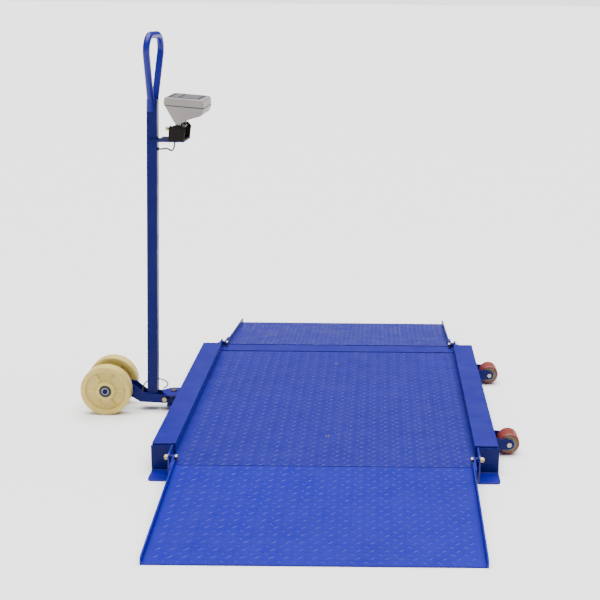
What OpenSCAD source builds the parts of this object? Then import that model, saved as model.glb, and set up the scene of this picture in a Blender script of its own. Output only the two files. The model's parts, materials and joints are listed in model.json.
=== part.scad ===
// Portable low-profile platform scale with two folding ramps, a lifting mast with
// nylon wheels on one side and two rollers on the other.
// Millimetres, +Z up, +Y towards the rear ramp, +X towards the roller side.
// Origin: centre of the weighing deck, on the floor.

/* [Platform] */
// clear deck width between the side covers
deck_w = 1000; // [800:10:1500]
// length of the side covers
cover_l = 1200; // [900:10:1600]
// width of one side cover
cover_w = 78; // [60:1:110]
// height of the cover tops above the floor
cover_top = 100; // [85:1:140]
// height of the deck surface above the floor
deck_top = 64; // [50:1:90]
// thickness of the deck plate
deck_t = 5; // [3:0.5:8]
// distance from the deck centre to the front edge of the deck
deck_front = 703; // [600:1:900]
// thickness of the folded cover sheet
cover_t = 4; // [2:0.5:6]

/* [Base frame] */
// thickness of the foot and lug plates
plate_t = 6; // [4:0.5:10]
// thickness of the channel's outer wall
wall_t = 4; // [3:0.5:8]
// how far the feet and lugs reach from the deck centre
foot_reach = 692; // [600:1:850]
// corner radius of a foot plate
foot_corner = 14; // [4:1:30]
// height of the lug plates at the hinges
lug_top = 95; // [70:1:130]

/* [Ramps] */
// distance from the deck centre to a hinge bolt
hinge_y = 674; // [600:1:850]
// height of a hinge bolt
hinge_z = 78; // [60:1:110]
// diameter of a hinge bolt
hinge_d = 12; // [8:1:20]
// distance from the deck centre to a ramp's near edge
ramp_near = 707; // [600:1:900]
// length of a ramp along its slope
ramp_l = 585.5; // [300:0.5:900]
// outside width of a ramp over its flanges
ramp_w = 978; // [700:2:1400]
// thickness of the ramp plate
ramp_t = 5; // [3:0.5:8]
// height of the side flange above the ramp plate
flange_h = 20; // [8:1:50]
// slope of a resting ramp, in degrees
ramp_slope = 5.784; // [2:0.001:15]

/* [Wheels and rollers] */
// diameter of a nylon wheel
wheel_d = 190; // [120:1:250]
// width of a nylon wheel
wheel_w = 50; // [30:1:80]
// diameter of the wheel axle
axle_d = 20; // [12:1:30]
// outside diameter of a wheel bearing
bearing_d = 47; // [30:1:62]
// diameter of a side roller
roller_d = 74; // [50:1:100]
// width of a side roller
roller_w = 70; // [40:1:100]
// distance from the deck centre to a roller's middle, along the deck
roller_y = 396; // [200:1:550]

/* [Lifting gear] */
// position of the swivel pin across the deck
swivel_x = -611; // [-900:1:-500]
// position of the lifting gear along the deck
gear_y = 32; // [-200:1:200]
// position of the tilt bolt across the deck
tilt_x = -643; // [-900:1:-500]
// height of the tilt bolt
tilt_z = 46; // [30:1:80]
// position of the wheel axle across the deck
axle_x = -856; // [-1100:1:-700]
// outside size of the square mast tube
mast_s = 38; // [25:1:60]
// length of the mast tube
mast_l = 1140; // [800:10:1400]
// lean of the mast towards the deck, in degrees
mast_lean = 1.95; // [0:0.05:10]
// diameter of the loop handle tube
handle_d = 25; // [18:1:35]

/* [Indicator] */
// width of the indicator housing along the deck
housing_w = 210; // [150:1:300]
// height of the arm plate that carries the indicator
arm_z = 1036; // [800:1:1200]
// diameter of the indicator lead
lead_d = 6; // [4:0.5:10]
// diameter of the load cell lead
cell_lead_d = 4.5; // [3:0.5:8]

/* [Hidden] */
fine = 96;
small = 48;
run_gap = 0.06;
half_w = deck_w / 2;
half_l = cover_l / 2;
cover_out = half_w + cover_w;
lug_in = half_w + 6;
lug_out = lug_in + plate_t;
base_out = cover_out + 3;
hinge_r = hinge_d / 2;
ramp_half = ramp_w / 2;
end_in = half_l + 4;
end_out = half_l + 10;
end_top = cover_top - 7;
lip_h = 8;
strip_near = half_l + 8;
strip_far = deck_front - 6;
cell_size = 32;
cell_l = 130;
cell_y = 500;
cell_x = (lug_out + base_out - wall_t) / 2;
cell_z = plate_t + 6;
nose_r = 18;
ear_t = 6;
ear_r = 11;
hinge_hex = 9.5;
hinge_head = 7;
hinge_nut = 10.5;
play = 0.4;
bore_gap = 0.03;
ear_in = ramp_half;
ear_out = ramp_half + ear_t;
// hinge position in the sloping ramp's own frame
hinge_u = (hinge_y - ramp_near) * cos(ramp_slope) - (hinge_z - deck_top) * sin(ramp_slope);
hinge_w = (hinge_y - ramp_near) * sin(ramp_slope) + (hinge_z - deck_top) * cos(ramp_slope);
// tilt bolt and fork
fork_in = 24;
fork_t = 6;
tilt_r = 6;
pin_r = 8;
block_half = 23.5;
block_r = 15.5;
tongue_r = 43;
tongue_top = 70;
tongue_low = 12;
tongue_t = 8;
wheel_r = wheel_d / 2;
wheel_off = 39;
axle_r = axle_d / 2;
mast_x = -692;
mast_z = 43.7;
web_top = 43;
handle_r = handle_d / 2;
corner_r = 52;
splay = 20;
loop_h = 270.5;
bend_r = 40;
leg_l = 42;
leg_y = mast_s / 2 + handle_r + 0.2;
slant_l = (loop_h - corner_r * (1 + sin(splay)) - leg_l - bend_r * sin(splay)) / cos(splay);
corner_y = leg_y + bend_r * (1 - cos(splay)) + slant_l * sin(splay) - corner_r * cos(splay);
tube_shrink = 0.15;
loop_lean = 1;
loop_yaw = -6;
roller_r = roller_d / 2;
roller_x = 633.5;
roller_z = roller_r + 5;
roller_axle_r = 5;
roller_hex = 9.2;
roller_nut = 6;
// indicator: section points across the deck and up, from the tilt axis
ind_x = -550;
ind_z = 1085;
cheek_y = 75;
ind_tilt_r = 4;
shell = [[-45, 101], [-47, 92], [-12, 27], [0, 14], [37, 33], [85, 47], [96, 70], [95, 96], [90, 104],
  [-42, 114]];

// ---------- helpers ----------
module block(x0, x1, y0, y1, z0, z1) {
  translate([x0, y0, z0])
    cube([x1 - x0, y1 - y0, z1 - z0]);
}

module rod_x(r, x0, x1, y, z) {
  translate([x0, y, z])
    rotate([0, 90, 0])
      cylinder(r = r, h = x1 - x0, $fn = small);
}

module rod_y(r, y0, y1, x, z) {
  translate([x, y0, z])
    rotate([-90, 0, 0])
      cylinder(r = r, h = y1 - y0, $fn = fine);
}

module hex_x(r, x0, x1, y, z) {
  translate([x0, y, z])
    rotate([0, 90, 0])
      cylinder(r = r, h = x1 - x0, $fn = 6);
}

module hex_y(r, y0, y1, x, z) {
  translate([x, y0, z])
    rotate([-90, 0, 0])
      cylinder(r = r, h = y1 - y0, $fn = 6);
}

// a flat shape drawn across the deck and up, given depth along the deck
module slab_y(y0, y1) {
  translate([0, y1, 0])
    rotate([90, 0, 0])
      linear_extrude(height = y1 - y0)
        children();
}

module each_side() {
  children();
  mirror([1, 0, 0])
    children();
}

module each_end() {
  children();
  mirror([0, 1, 0])
    children();
}

// smooth point on a run of route points, u from 0 to the last index
function route_at(p, u) =
  let (n = len(p) - 1, i = min(floor(u), n - 1), t = u - i, a = p[max(i - 1, 0)], b = p[i],
    c = p[i + 1], d = p[min(i + 2, n)])
  0.5 * ((2 * b) + (c - a) * t + (2 * a - 5 * b + 4 * c - d) * t * t
    + (3 * b - a - 3 * c + d) * t * t * t);

function unit(v) = v / norm(v);

// rings of points round a route, each ring square to the route
function ring_points(p, r, steps, sides, lean) = [
  for (k = [0 : steps])
    let (n = len(p) - 1, u = n * k / steps, e = 0.02, c = route_at(p, u),
      t = unit(route_at(p, min(u + e, n)) - route_at(p, max(u - e, 0))),
      s = unit(cross(t, lean)), w = cross(s, t))
    for (j = [0 : sides - 1])
      c + r * (cos(360 * j / sides) * s + sin(360 * j / sides) * w)];

module swept(p, r, steps, sides, lean) {
  polyhedron(
    points = ring_points(p, r, steps, sides, lean),
    faces = concat(
      [[for (j = [0 : sides - 1]) j]],
      [for (k = [0 : steps - 1]) for (j = [0 : sides - 1])
        [k * sides + j, (k + 1) * sides + j, (k + 1) * sides + (j + 1) % sides,
          k * sides + (j + 1) % sides]],
      [[for (j = [sides - 1 : -1 : 0]) steps * sides + j]]));
}

// ---------- base frame ----------
module foot_plate() {
  difference() {
    block(lug_out, base_out, -foot_reach, foot_reach, 0, plate_t);
    each_end()
      difference() {
        block(base_out - foot_corner, base_out + 1, foot_reach - foot_corner, foot_reach + 1, -1,
          plate_t + 1);
        translate([base_out - foot_corner, foot_reach - foot_corner, -2])
          cylinder(r = foot_corner, h = plate_t + 4, $fn = small);
      }
  }
}

module channel() {
  foot_plate();
  block(base_out - wall_t, base_out, -end_in, end_in, plate_t, cover_top - 11);
}

module left_channel() {
  color("RoyalBlue")
    mirror([1, 0, 0])
      channel();
}

module right_channel() {
  color("RoyalBlue")
    channel();
}

module lug_nose() {
  difference() {
    union() {
      block(lug_in, lug_out, half_l + 2, foot_reach, 0, lug_top - nose_r);
      block(lug_in, lug_out, half_l + 2, foot_reach - nose_r, 0, lug_top);
      rod_x(nose_r, lug_in, lug_out, foot_reach - nose_r, lug_top - nose_r);
    }
    rod_x(hinge_r + 0.05, lug_in - 1, lug_out + 1, hinge_y, hinge_z);
  }
}

module lug_plate() {
  block(lug_in, lug_out, -half_l - 2, half_l + 2, 0, cover_top - 10);
  each_end()
    lug_nose();
}

module left_lug_plate() {
  color("RoyalBlue")
    mirror([1, 0, 0])
      lug_plate();
}

module right_lug_plate() {
  color("RoyalBlue")
    lug_plate();
}

module end_plates() {
  color("MidnightBlue")
    each_side()
      each_end()
        block(lug_out, base_out, end_in, end_out, plate_t, end_top);
}

// folded strip that joins the two sides behind the deck
module rear_cross_member() {
  color("RoyalBlue") {
    block(-lug_in, lug_in, strip_near, strip_far, deck_top - deck_t, deck_top);
    block(-lug_in, lug_in, strip_near, strip_near + deck_t, 12, deck_top - deck_t);
    block(-lug_in, lug_in, strip_far - deck_t, strip_far, 12, deck_top - deck_t);
  }
}

// flat bars on the floor between the two sides
module cross_ties() {
  color("MidnightBlue")
    for (y = [-560, 0, 560])
      block(-lug_in, lug_in, y - 30, y + 30, 0, plate_t);
}

module load_cells() {
  color("Silver")
    each_side()
      each_end()
        difference() {
          union() {
            block(cell_x - cell_size / 2, cell_x + cell_size / 2, cell_y - cell_l / 2,
              cell_y + cell_l / 2, cell_z, cell_z + cell_size);
            block(cell_x - cell_size / 2, cell_x + cell_size / 2, cell_y - cell_l / 2,
              cell_y, plate_t, cell_z);
          }
          rod_x(9, cell_x - cell_size, cell_x + cell_size, cell_y, cell_z + cell_size / 2);
        }
}

module load_cell_bolts() {
  color("Goldenrod")
    each_side()
      each_end()
        for (y = [-50, -22])
          translate([cell_x, cell_y + y, cell_z + cell_size])
            cylinder(r = 10, h = 8, $fn = 6);
}

// posts that carry the covers on the load cells
module load_posts() {
  color("Silver")
    each_side()
      each_end() {
        translate([cell_x, cell_y + 48, cell_z + cell_size])
          cylinder(r = 14, h = 6, $fn = small);
        translate([cell_x, cell_y + 48, cell_z + cell_size + 6])
          cylinder(r = 9, h = cover_top - cover_t - cell_z - cell_size - 6, $fn = small);
      }
}

module junction_box() {
  color("Silver") {
    block(-cell_x - 26, -cell_x + 26, 150, 270, plate_t, plate_t + 40);
    for (y = [170, 200, 230])
      rod_x(6, -cell_x - 32, -cell_x - 26, y, plate_t + 20);
  }
}

module tongue(r, z0) {
  translate([0, 0, z0])
    linear_extrude(height = tongue_t)
      difference() {
        union() {
          translate([swivel_x, gear_y])
            circle(r = r, $fn = fine);
          translate([swivel_x, gear_y - r])
            square([-base_out - swivel_x, 2 * r]);
        }
        translate([swivel_x, gear_y])
          circle(r = pin_r + 0.05, $fn = small);
        translate([-base_out, gear_y - 2 * r])
          square([2 * r, 4 * r]);
      }
}

module swivel_tongues() {
  color("RoyalBlue") {
    tongue(tongue_r, tongue_top - tongue_t);
    tongue(30, tongue_low);
  }
}

module swivel_pin() {
  color("Goldenrod")
    translate([swivel_x, gear_y, 0]) {
      translate([0, 0, 3])
        cylinder(r = pin_r, h = tongue_top - 3, $fn = small);
      translate([0, 0, tongue_top])
        cylinder(r = 12, h = 6, $fn = 6);
      difference() {
        translate([0, 0, 4])
          cylinder(r = 12, h = tongue_low - 4, $fn = 6);
        translate([0, 0, 2])
          cylinder(r = pin_r + 0.03, h = tongue_low, $fn = small);
      }
    }
}

module roller_cheek(y0) {
  slab_y(y0, y0 + plate_t)
    difference() {
      union() {
        translate([roller_x, roller_z])
          circle(r = 17, $fn = fine);
        polygon([[base_out, roller_z - 22], [roller_x, roller_z - 17], [roller_x, roller_z + 17],
          [base_out, roller_z + 24]]);
      }
      translate([roller_x, roller_z])
        circle(r = roller_axle_r + 0.05, $fn = small);
    }
}

module roller_brackets() {
  color("RoyalBlue")
    for (y = [-roller_y, roller_y]) {
      roller_cheek(y - roller_w / 2 - 2 - plate_t);
      roller_cheek(y + roller_w / 2 + 2);
    }
}

module roller_bolt(y) {
  grip = roller_w / 2 + 2 + plate_t;
  rod_y(roller_axle_r, y - grip, y + grip + roller_nut + 2, roller_x, roller_z);
  hex_y(roller_hex, y - grip - roller_nut, y - grip, roller_x, roller_z);
  difference() {
    hex_y(roller_hex, y + grip, y + grip + roller_nut, roller_x, roller_z);
    rod_y(roller_axle_r + bore_gap, y, y + 2 * grip, roller_x, roller_z);
  }
}

module roller_bolts() {
  color("Goldenrod") {
    roller_bolt(-roller_y);
    roller_bolt(roller_y);
  }
}

module hinge_bolts() {
  color("Goldenrod")
    each_side()
      each_end() {
        hex_x(hinge_hex, ear_in - play - hinge_head, ear_in - play, hinge_y, hinge_z);
        rod_x(hinge_r, ear_in - play, lug_out + hinge_nut + 3, hinge_y, hinge_z);
      }
}

module hinge_nuts() {
  color("Silver")
    each_side()
      each_end()
        difference() {
          hex_x(hinge_hex, lug_out, lug_out + hinge_nut, hinge_y, hinge_z);
          rod_x(hinge_r + bore_gap, lug_in, lug_out + 2 * hinge_nut, hinge_y, hinge_z);
        }
}

module hinge_spacers() {
  color("Silver")
    each_side()
      each_end()
        difference() {
          rod_x(hinge_hex, ear_out + play, lug_in, hinge_y, hinge_z);
          rod_x(hinge_r + bore_gap, ear_out, lug_in + 1, hinge_y, hinge_z);
        }
}

// ---------- live deck ----------
module deck_plate() {
  color("RoyalBlue")
    difference() {
      union() {
        block(-half_w, half_w, -deck_front, half_l - 3, deck_top - deck_t, deck_top);
        block(-half_w, half_w, -deck_front, -deck_front + 4, 26, deck_top - deck_t);
        block(-half_w, half_w, half_l - 7, half_l - 3, 26, deck_top - deck_t);
      }
      for (y = [-425, 425])
        translate([0, y, deck_top - 20])
          cylinder(r = 7, h = 30, $fn = small);
    }
}

// stiffening channels under the deck
module deck_ribs() {
  color("MidnightBlue")
    for (x = [-400 : 160 : 400])
      difference() {
        block(x - 30, x + 30, -deck_front + 4, half_l - 7, 22, deck_top - deck_t);
        block(x - 26, x + 26, -deck_front, half_l, 20, deck_top - deck_t - 4);
      }
}

module cover() {
  block(half_w, cover_out, -half_l, half_l, cover_top - cover_t, cover_top);
  block(half_w, half_w + cover_t, -half_l, half_l, deck_top - deck_t, cover_top - cover_t);
  block(cover_out - cover_t, cover_out, -half_l, half_l, cover_top - lip_h, cover_top - cover_t);
  each_end()
    block(lug_in + 8, cover_out - cover_t, half_l - cover_t, half_l, cover_top - lip_h,
      cover_top - cover_t);
}

module left_cover() {
  color("CornflowerBlue")
    mirror([1, 0, 0])
      cover();
}

module right_cover() {
  color("CornflowerBlue")
    cover();
}

// threaded plugs for lifting eyes, on the deck's centre line
module lifting_plugs() {
  color("DimGray")
    for (y = [-425, 425])
      translate([0, y, deck_top - deck_t])
        difference() {
          cylinder(r = 7, h = deck_t, $fn = small);
          translate([0, 0, -1])
            cylinder(r = 4.2, h = deck_t + 2, $fn = small);
        }
}

// ---------- ramps (drawn at the rear, mirrored for the front) ----------
module on_slope() {
  translate([0, ramp_near, deck_top])
    rotate([-ramp_slope, 0, 0])
      children();
}

module ramp_plate() {
  on_slope()
    block(-ramp_half + 5, ramp_half - 5, 0, ramp_l, -ramp_t, 0);
}

module ramp_flange() {
  on_slope()
    difference() {
      union() {
        block(ramp_half - 5, ramp_half, 0, ramp_l - 12, -ramp_t, flange_h);
        block(ramp_half - 5, ramp_half, 0, ramp_l, -ramp_t, flange_h - 12);
        rod_x(12, ramp_half - 5, ramp_half, ramp_l - 12, flange_h - 12);
        block(ear_in, ear_out, hinge_u, 55, hinge_w - 9, hinge_w + ear_r);
        rod_x(ear_r, ear_in, ear_out, hinge_u, hinge_w);
      }
      rod_x(hinge_r + run_gap, ear_in - 10, ear_out + 10, hinge_u, hinge_w);
    }
}

module front_ramp_plate() {
  color("RoyalBlue")
    mirror([0, 1, 0])
      ramp_plate();
}

module front_ramp_flanges() {
  color("RoyalBlue")
    mirror([0, 1, 0])
      each_side()
        ramp_flange();
}

module front_ramp_ribs() {
  color("MidnightBlue")
    mirror([0, 1, 0])
      ramp_rib_set();
}

module rear_ramp_plate() {
  color("RoyalBlue")
    ramp_plate();
}

module rear_ramp_flanges() {
  color("RoyalBlue")
    each_side()
      ramp_flange();
}

module rear_ramp_ribs() {
  color("MidnightBlue")
    ramp_rib_set();
}

// tapered ribs under a ramp, thinning towards its toe
module ramp_rib_set() {
  on_slope()
    for (x = [-390 : 130 : 390])
      translate([x - 3, 0, -ramp_t])
        rotate([90, 0, 90])
          linear_extrude(height = 6)
            polygon([[30, 0], [ramp_l - 60, 0], [ramp_l - 60, -3], [60, -34], [30, -34]]);
}

// ---------- lifting gear ----------
module swivel_block() {
  color("MidnightBlue")
    difference() {
      union() {
        translate([swivel_x, gear_y, tongue_low + tongue_t + 0.4])
          cylinder(r = 18, h = tongue_top - tongue_low - 2 * tongue_t - 0.8, $fn = fine);
        block(tilt_x, swivel_x, gear_y - block_half, gear_y + block_half, tilt_z - block_r,
          tilt_z + block_r);
        rod_y(block_r, gear_y - block_half, gear_y + block_half, tilt_x, tilt_z);
      }
      translate([swivel_x, gear_y, 0])
        cylinder(r = pin_r + run_gap, h = 100, $fn = small);
      rod_y(tilt_r + run_gap, gear_y - 50, gear_y + 50, tilt_x, tilt_z);
    }
}

module fork_plate(y0) {
  slab_y(y0, y0 + fork_t)
    difference() {
      union() {
        polygon([[tilt_x, tilt_z + block_r], [-662, 64], [-722, 71.5], [-757, 101],
          [axle_x + 2, wheel_r + 24], [axle_x - 4, wheel_r - 23.7], [-765, 53], [-737, 35.5],
          [tilt_x, tilt_z - block_r]]);
        translate([tilt_x, tilt_z])
          circle(r = block_r, $fn = fine);
        translate([axle_x, wheel_r])
          circle(r = 24, $fn = fine);
      }
      translate([tilt_x, tilt_z])
        circle(r = tilt_r + 0.05, $fn = small);
      translate([axle_x, wheel_r])
        circle(r = axle_r + 0.05, $fn = fine);
    }
}

module fork_plates() {
  color("MidnightBlue") {
    fork_plate(gear_y - fork_in - fork_t);
    fork_plate(gear_y + fork_in);
  }
}

module fork_web() {
  color("MidnightBlue")
    block(-738, -668, gear_y - fork_in, gear_y + fork_in, web_top - 6, web_top);
}

// packing pieces welded between the mast and the fork plates
module mast_packers() {
  color("MidnightBlue")
    for (s = [-1, 1])
      translate([mast_x, gear_y + s * (mast_s / 2 + fork_in) / 2, web_top + 12])
        cube([30, fork_in - mast_s / 2, 22], center = true);
}

module tilt_bolt() {
  color("Goldenrod") {
    hex_y(9.5, gear_y - fork_in - fork_t - 7, gear_y - fork_in - fork_t, tilt_x, tilt_z);
    rod_y(tilt_r, gear_y - fork_in - fork_t, gear_y + fork_in + fork_t + 11, tilt_x, tilt_z);
    difference() {
      hex_y(9.5, gear_y + fork_in + fork_t, gear_y + fork_in + fork_t + 9, tilt_x, tilt_z);
      rod_y(tilt_r + 0.03, gear_y, gear_y + 60, tilt_x, tilt_z);
    }
  }
}

module wheel_axle() {
  color("MediumBlue")
    rod_y(axle_r, gear_y - wheel_off - wheel_w - 5, gear_y + wheel_off + wheel_w + 5, axle_x,
      wheel_r);
}

module axle_spacers() {
  color("Silver")
    for (s = [-1, 1])
      difference() {
        translate([axle_x, gear_y + s * (fork_in + fork_t + wheel_off) / 2, wheel_r])
          rotate([90, 0, 0])
            cylinder(r = 14, h = wheel_off - fork_in - fork_t - 0.6, center = true, $fn = small);
        rod_y(axle_r + 0.02, gear_y - 100, gear_y + 100, axle_x, wheel_r);
      }
}

// retaining rings at the axle ends
module axle_clips() {
  color("DimGray")
    for (s = [-1, 1])
      difference() {
        translate([axle_x, gear_y + s * (wheel_off + wheel_w + 0.9), wheel_r])
          rotate([90, 0, 0])
            cylinder(r = 13.5, h = 1.6, center = true, $fn = small);
        rod_y(axle_r + 0.02, gear_y - 120, gear_y + 120, axle_x, wheel_r);
      }
}

module on_mast() {
  translate([mast_x, gear_y, mast_z])
    rotate([0, mast_lean, 0])
      children();
}

module mast_tube() {
  color("MidnightBlue")
    on_mast()
      difference() {
        translate([-mast_s / 2, -mast_s / 2, 0])
          cube([mast_s, mast_s, mast_l]);
        translate([2.5 - mast_s / 2, 2.5 - mast_s / 2, -1])
          cube([mast_s - 5, mast_s - 5, mast_l - 2]);
      }
}

// round tube loop straddling the top of the mast
module loop_side() {
  translate([0, leg_y, 0])
    cylinder(r = handle_r, h = leg_l + 1, $fn = small);
  translate([0, leg_y + bend_r, leg_l])
    rotate([90, 0, 90])
      rotate([0, 0, 180 - splay])
        rotate_extrude(angle = splay, $fn = fine)
          translate([bend_r, 0])
            circle(r = handle_r - tube_shrink, $fn = small);
  translate([0, leg_y + bend_r - bend_r * cos(splay), leg_l + bend_r * sin(splay)])
    rotate([-splay, 0, 0])
      translate([0, 0, -1])
        cylinder(r = handle_r, h = slant_l + 2, $fn = small);
  translate([0, corner_y, loop_h - corner_r])
    rotate([90, 0, 90])
      rotate([0, 0, -splay])
        rotate_extrude(angle = 90 + splay, $fn = fine)
          translate([corner_r, 0])
            circle(r = handle_r - tube_shrink, $fn = small);
}

module loop_handle() {
  color("RoyalBlue")
    on_mast()
      translate([0, 0, mast_l - leg_l])
        rotate([0, loop_lean, loop_yaw]) {
          loop_side();
          mirror([0, 1, 0])
            loop_side();
          rod_y(handle_r, -corner_y - 1, corner_y + 1, 0, loop_h);
        }
}

// ---------- indicator and its carrier ----------
module arm_plate() {
  color("MidnightBlue")
    difference() {
      union() {
        block(-670, -634, gear_y - 26, gear_y + 26, arm_z, arm_z + 4);
        block(-634, -531, gear_y - cheek_y, gear_y + cheek_y, arm_z, arm_z + 4);
      }
      on_mast()
        translate([-mast_s / 2 - 0.02, -mast_s / 2 - 0.02, 0])
          cube([mast_s + 0.04, mast_s + 0.04, mast_l]);
      translate([-572, gear_y - 40, arm_z - 1])
        cylinder(r = 6, h = 10, $fn = small);
      for (y = [-30, 50])
        translate([-560, gear_y + y, arm_z - 1])
          cylinder(r = 3.3, h = 10, $fn = small);
    }
}

module cheek(y0) {
  slab_y(y0, y0 + 3)
    difference() {
      union() {
        polygon([[-588, arm_z + 7], [-533, arm_z + 7], [-527, 1082], [-538, 1096], [-562, 1097],
          [-586, 1090]]);
        translate([ind_x, ind_z])
          circle(r = 12, $fn = small);
      }
      translate([ind_x, ind_z])
        circle(r = ind_tilt_r + 0.05, $fn = small);
    }
}

module tilt_bracket() {
  color("Black") {
    difference() {
      block(-588, -533, gear_y - cheek_y, gear_y + cheek_y, arm_z + 4, arm_z + 7);
      translate([-572, gear_y - 40, arm_z - 1])
        cylinder(r = 6, h = 10, $fn = small);
      for (y = [-30, 50])
        translate([-560, gear_y + y, arm_z - 1])
          cylinder(r = 3.3, h = 10, $fn = small);
    }
    difference() {
      block(-583, -580, gear_y - cheek_y + 3, gear_y - 53, arm_z + 7, 1094);
      rod_x(3.05, -600, -570, gear_y - 62, 1084);
    }
    cheek(gear_y - cheek_y);
    cheek(gear_y + cheek_y - 3);
    for (y = [gear_y - cheek_y - 5, gear_y + cheek_y + 1])
      rod_y(9, y, y + 4, ind_x, ind_z);
    for (y = [gear_y - cheek_y - 1, gear_y + cheek_y - 10])
      rod_y(ind_tilt_r, y, y + 11, ind_x, ind_z);
  }
}

module bracket_bolts() {
  color("Goldenrod")
    for (y = [-30, 50])
      translate([-560, gear_y + y, 0]) {
        translate([0, 0, arm_z + 7])
          cylinder(r = 6, h = 4, $fn = 6);
        translate([0, 0, arm_z - 4])
          cylinder(r = 3.25, h = 11, $fn = small);
        translate([0, 0, arm_z - 5])
          difference() {
            cylinder(r = 6, h = 5, $fn = 6);
            translate([0, 0, -1])
              cylinder(r = 3.33, h = 7, $fn = small);
          }
      }
}

// brass thumb screw that clamps the front cheek
module lock_screw() {
  color("Gold") {
    rod_x(3, -590, -576, gear_y - 62, 1084);
    rod_x(7, -598, -590, gear_y - 62, 1084);
  }
}

module lead_grommets() {
  color("Black") {
    translate([-572, gear_y - 40, arm_z - 3])
      difference() {
        cylinder(r = 6, h = 10, $fn = small);
        translate([0, 0, -1])
          cylinder(r = lead_d / 2 + 0.1, h = 12, $fn = small);
      }
    on_mast()
      rod_x(6, mast_s / 2, mast_s / 2 + 4, 0, 960);
  }
}

module at_housing() {
  translate([ind_x, 0, ind_z])
    children();
}

module housing_section(y0, y1) {
  at_housing()
    slab_y(y0, y1)
      polygon(shell);
}

// inside of the housing, from the tilt axis
cavity = [[-40, 100], [-42, 92], [-9, 33], [0, 20], [36, 37], [82, 51], [91, 72], [91, 96],
  [-40, 106]];

module housing_cavity() {
  at_housing()
    slab_y(gear_y - housing_w / 2 + 4, gear_y + housing_w / 2 - 4)
      polygon(cavity);
}

// line between the two halves of the housing, from the tilt axis
seam = [[-120, 92], [160, 69], [160, 160], [-120, 160]];
below_seam = [[-120, 92], [160, 69], [160, -20], [-120, -20]];

module housing_base() {
  color("LightGray") {
    difference() {
      housing_section(gear_y - housing_w / 2, gear_y + housing_w / 2);
      at_housing()
        slab_y(gear_y - housing_w, gear_y + housing_w)
          polygon(seam);
      housing_cavity();
    }
    for (y = [gear_y - cheek_y + 3.4, gear_y + cheek_y - 11.4])
      difference() {
        union() {
          rod_y(9, y, y + 8, ind_x, ind_z);
          block(ind_x - 7, ind_x + 7, y, y + 8, ind_z, ind_z + 20);
        }
        rod_y(ind_tilt_r + run_gap, y - 1, y + 9, ind_x, ind_z);
      }
  }
}

module housing_top() {
  color("LightGray")
    difference() {
      housing_section(gear_y - housing_w / 2, gear_y + housing_w / 2);
      at_housing()
        slab_y(gear_y - housing_w, gear_y + housing_w)
          polygon(below_seam);
      housing_cavity();
      panel_frame()
        block(9, 122, 14 - housing_w / 2, housing_w / 2 - 14, -1.2, 2);
    }
}

// frame of the sloping panel: across, along, out of the panel
module panel_frame() {
  translate([ind_x + shell[9][0], gear_y, ind_z + shell[9][1]])
    rotate([0, atan2(shell[9][1] - shell[8][1], shell[8][0] - shell[9][0]), 0])
      children();
}

module panel_overlay() {
  color("DarkSlateBlue")
    panel_frame()
      difference() {
        block(9, 122, 14 - housing_w / 2, housing_w / 2 - 14, -1.2, -0.3);
        block(18, 44, -76, 76, -2, 1);
      }
}

module display_window() {
  color("DarkSeaGreen")
    panel_frame()
      block(18, 44, -76, 76, -1.2, -0.1);
}

module panel_keys() {
  color("Gray")
    panel_frame()
      for (i = [0 : 2])
        for (j = [0 : 5])
          translate([58 + 20 * i, -65 + 26 * j, 0])
            translate([-7, -10, -0.3])
              cube([14, 20, 0.8]);
}

// ---------- wheels and rollers ----------
module wheel(y0) {
  translate([axle_x, y0, wheel_r])
    rotate([-90, 0, 0])
      difference() {
        union() {
          rotate_extrude($fn = fine)
            polygon([[bearing_d / 2, 0], [34, 0], [36, 12], [74, 12], [78, 2], [wheel_r - 4, 0],
              [wheel_r, 4], [wheel_r, wheel_w - 4], [wheel_r - 4, wheel_w], [78, wheel_w - 2],
              [74, wheel_w - 12], [36, wheel_w - 12], [34, wheel_w], [bearing_d / 2, wheel_w]]);
          for (a = [0 : 60 : 300])
            rotate([0, 0, a])
              translate([34.5, -3, 5])
                cube([41, 6, wheel_w - 10]);
        }
        translate([0, 0, -1])
          cylinder(r = bearing_d / 2, h = wheel_w + 2, $fn = fine);
      }
}

module wheel_bearings_at(y0) {
  for (y = [y0 + 0.6, y0 + wheel_w - 14.6])
    difference() {
      rod_y(bearing_d / 2, y, y + 14, axle_x, wheel_r);
      rod_y(axle_r + run_gap, y - 1, y + 15, axle_x, wheel_r);
    }
}

module front_wheel() {
  color("Wheat")
    wheel(gear_y - wheel_off - wheel_w);
}

module front_wheel_bearings() {
  color("Gray")
    wheel_bearings_at(gear_y - wheel_off - wheel_w);
}

module rear_wheel() {
  color("Wheat")
    wheel(gear_y + wheel_off);
}

module rear_wheel_bearings() {
  color("Gray")
    wheel_bearings_at(gear_y + wheel_off);
}

module roller_tyre(y) {
  color("IndianRed")
    translate([roller_x, y - roller_w / 2, roller_z])
      rotate([-90, 0, 0])
        rotate_extrude($fn = fine)
          polygon([[29, 0], [roller_r - 4, 0], [roller_r, 4], [roller_r, roller_w - 4],
            [roller_r - 4, roller_w], [29, roller_w]]);
}

module roller_core(y) {
  color("Gray")
    difference() {
      rod_y(29, y - roller_w / 2, y + roller_w / 2, roller_x, roller_z);
      rod_y(roller_axle_r + run_gap, y - roller_w, y + roller_w, roller_x, roller_z);
    }
}

module front_roller_tyre() {
  roller_tyre(-roller_y);
}

module front_roller_core() {
  roller_core(-roller_y);
}

module rear_roller_tyre() {
  roller_tyre(roller_y);
}

module rear_roller_core() {
  roller_core(roller_y);
}

// ---------- leads ----------
// from the hole in the arm plate, a small loop, into the mast
indicator_route = [[-572, -8, 1033], [-572, -8, 1026], [-575, -6, 1012], [-584, 4, 1001],
  [-594, 14, 1002], [-606, 24, 1005], [-618, 31, 1003.5], [-629, 32, 1002.14],
  [-636.32, 32, 1002.38]];
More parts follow.
